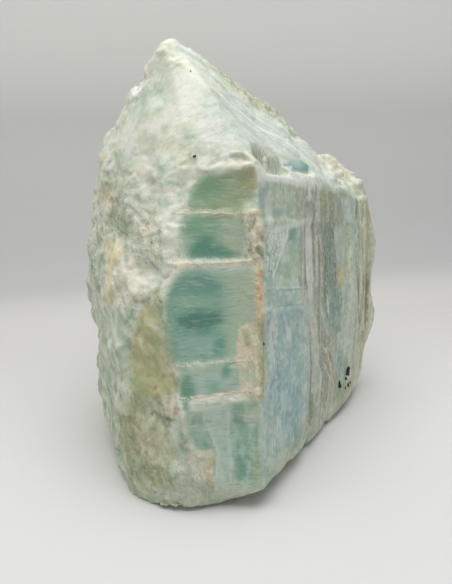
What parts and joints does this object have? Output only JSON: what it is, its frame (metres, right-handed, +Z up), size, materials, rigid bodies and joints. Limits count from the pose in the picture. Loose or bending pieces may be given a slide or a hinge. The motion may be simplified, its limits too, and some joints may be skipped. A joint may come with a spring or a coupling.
{
  "type": "rough aquamarine crystal",
  "caption": "Rough block of aquamarine standing on a flat break, with a grooved crystal face, glassy stepped front and pointed top.",
  "frame": {"origin": "middle of the block's bounding box, on the flat break that it stands on", "axes": "+Z up to the pointed top, +X to the right of the stepped front, +Y to the back"},
  "size_m": [0.1248, 0.1189, 0.1575],
  "materials": {
    "aquamarine": "rough broken stone, with glassy sea-green patches and cream veins"
  },
  "bodies": {
    "root": {"aquamarine_crystal": "aquamarine"}
  },
  "joints": []
}
